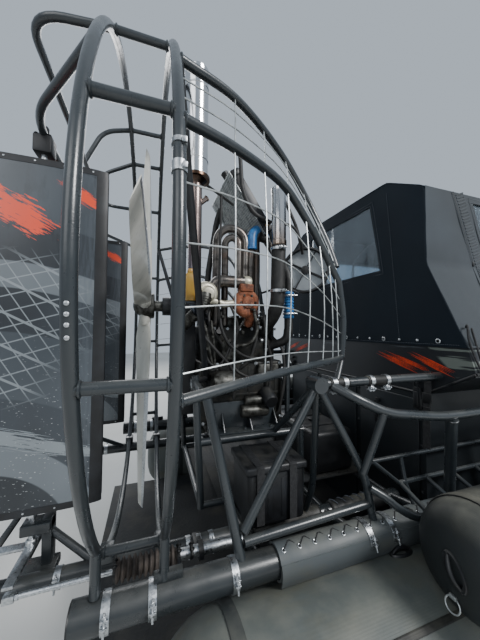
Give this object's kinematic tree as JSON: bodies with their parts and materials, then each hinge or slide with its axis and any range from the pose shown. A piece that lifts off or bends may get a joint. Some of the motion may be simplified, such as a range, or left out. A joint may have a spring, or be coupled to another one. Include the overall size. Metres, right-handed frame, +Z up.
{
  "type": "amphibious airboat",
  "caption": "Inflatable amphibious airboat with a soft-topped cabin, a rear pusher propeller in a tube cage and twin air rudders.",
  "frame": {"origin": "on the ground, on the centreline, under the middle of the overall length", "axes": "+X to the bow, +Y to port, +Z up"},
  "size_m": [6.7745, 2.37, 2.664],
  "materials": {
    "frame_paint": "satin dark grey paint on steel tube",
    "pvc_grey": "matte grey coated fabric",
    "pvc_dark": "matte dark coated fabric",
    "pvc_black": "matte black coated fabric",
    "tent_fabric": "matte dark navy-grey canvas",
    "clear_vinyl": "clear flexible window",
    "slate_skin": "satin dark slate wrap",
    "black_plastic": "matte black",
    "zinc": "zinc plated",
    "chrome": "polished",
    "engine_metal": "oily cast metal",
    "header_black": "dark heat paint",
    "radiator_core": "dark painted core",
    "blade": "off-white composite",
    "bellows_rubber": "brown rubber",
    "tank_black": "black polyethylene fuel tank",
    "seat_cover": "dark seat fabric"
  },
  "bodies": {
    "hull": {"hull_tube_starboard": "pvc_grey", "hull_tube_port": "pvc_grey", "upper_tube_starboard": "pvc_dark", "upper_tube_port": "pvc_dark", "hull_bottom": "pvc_black", "floor_deck": "slate_skin", "rail_outer_starboard": "frame_paint", "rail_outer_port": "frame_paint", "rail_sleeve_starboard": "pvc_dark", "rail_sleeve_port": "pvc_dark", "engine_bed": "frame_paint", "cage_hoop_fore": "frame_paint", "cage_hoop_aft": "frame_paint", "cage_top_tubes": "frame_paint", "guard_basket_starboard": "frame_paint", "guard_basket_port": "frame_paint", "engine_frame": "frame_paint", "engine_block": "engine_metal", "drive_housing": "black_plastic", "engine_foot_starboard": "frame_paint", "engine_foot_port": "frame_paint", "exhaust_stack": "chrome", "exhaust_muffler": "chrome", "header_pipes": "header_black", "radiator": "radiator_core", "fuel_tank": "tank_black", "battery_box": "black_plastic", "engine_tray": "slate_skin", "steering_bellows": "bellows_rubber", "cabin_tub": "slate_skin", "coaming": "slate_skin", "foredeck": "pvc_grey", "tent_aft_wall": "tent_fabric", "window_aft": "clear_vinyl", "tent_roof": "tent_fabric", "tent_side_starboard": "tent_fabric", "window_side_starboard": "clear_vinyl", "tent_side_port": "tent_fabric", "window_side_port": "clear_vinyl", "windscreen_frame": "tent_fabric", "windscreen_starboard": "clear_vinyl", "windscreen_port": "clear_vinyl", "seat_driver": "seat_cover", "seat_passenger": "seat_cover", "bench_rear": "seat_cover", "dashboard": "black_plastic", "steering_column": "zinc", "handrail_starboard": "frame_paint", "side_rack_starboard": "frame_paint", "handrail_port": "frame_paint", "side_rack_port": "frame_paint"},
    "propeller": {"propeller": "blade"},
    "rudder_starboard": {"rudder_starboard": "slate_skin"},
    "rudder_port": {"rudder_port": "slate_skin"},
    "tie_bar": {"rudder_tie_bar": "zinc"},
    "steering_rod": {"steering_rod": "zinc"},
    "steering_wheel": {"steering_wheel": "black_plastic"}
  },
  "joints": [
    {"name": "propeller_spin", "type": "hinge", "parent": "hull", "child": "propeller", "pos_m": [-2.60525, 0, 1.585], "axis": [1, 0, 0], "continuous": true},
    {"name": "rudder_starboard_turn", "type": "hinge", "parent": "hull", "child": "rudder_starboard", "pos_m": [-2.95225, -0.44, 1.44], "axis": [0, 0, 1], "range_deg": [-30, 30]},
    {"name": "rudder_port_turn", "type": "hinge", "parent": "hull", "child": "rudder_port", "pos_m": [-2.95225, 0.44, 1.44], "axis": [0, 0, 1], "range_deg": [-30, 30]},
    {"name": "tie_bar_pivot", "type": "hinge", "parent": "rudder_starboard", "child": "tie_bar", "pos_m": [-3.07225, -0.44, 0.685], "axis": [0, 0, 1], "range_deg": [-30, 30]},
    {"name": "steering_rod_slide", "type": "slide", "parent": "hull", "child": "steering_rod", "axis": [1, 0, 0], "range_m": [-0.075, 0.075]},
    {"name": "steering_wheel_turn", "type": "hinge", "parent": "hull", "child": "steering_wheel", "pos_m": [0.87775, -0.34, 1.16], "axis": [0.9063, 0, -0.4226], "range_deg": [-270, 270]}
  ],
  "couplings": [
    {"joint": "rudder_port_turn", "follows": "rudder_starboard_turn", "ratio": 1},
    {"joint": "tie_bar_pivot", "follows": "rudder_starboard_turn", "ratio": -1},
    {"joint": "steering_rod_slide", "follows": "rudder_starboard_turn", "m_per_rad": 0.1432},
    {"joint": "steering_wheel_turn", "follows": "rudder_starboard_turn", "ratio": 9}
  ]
}
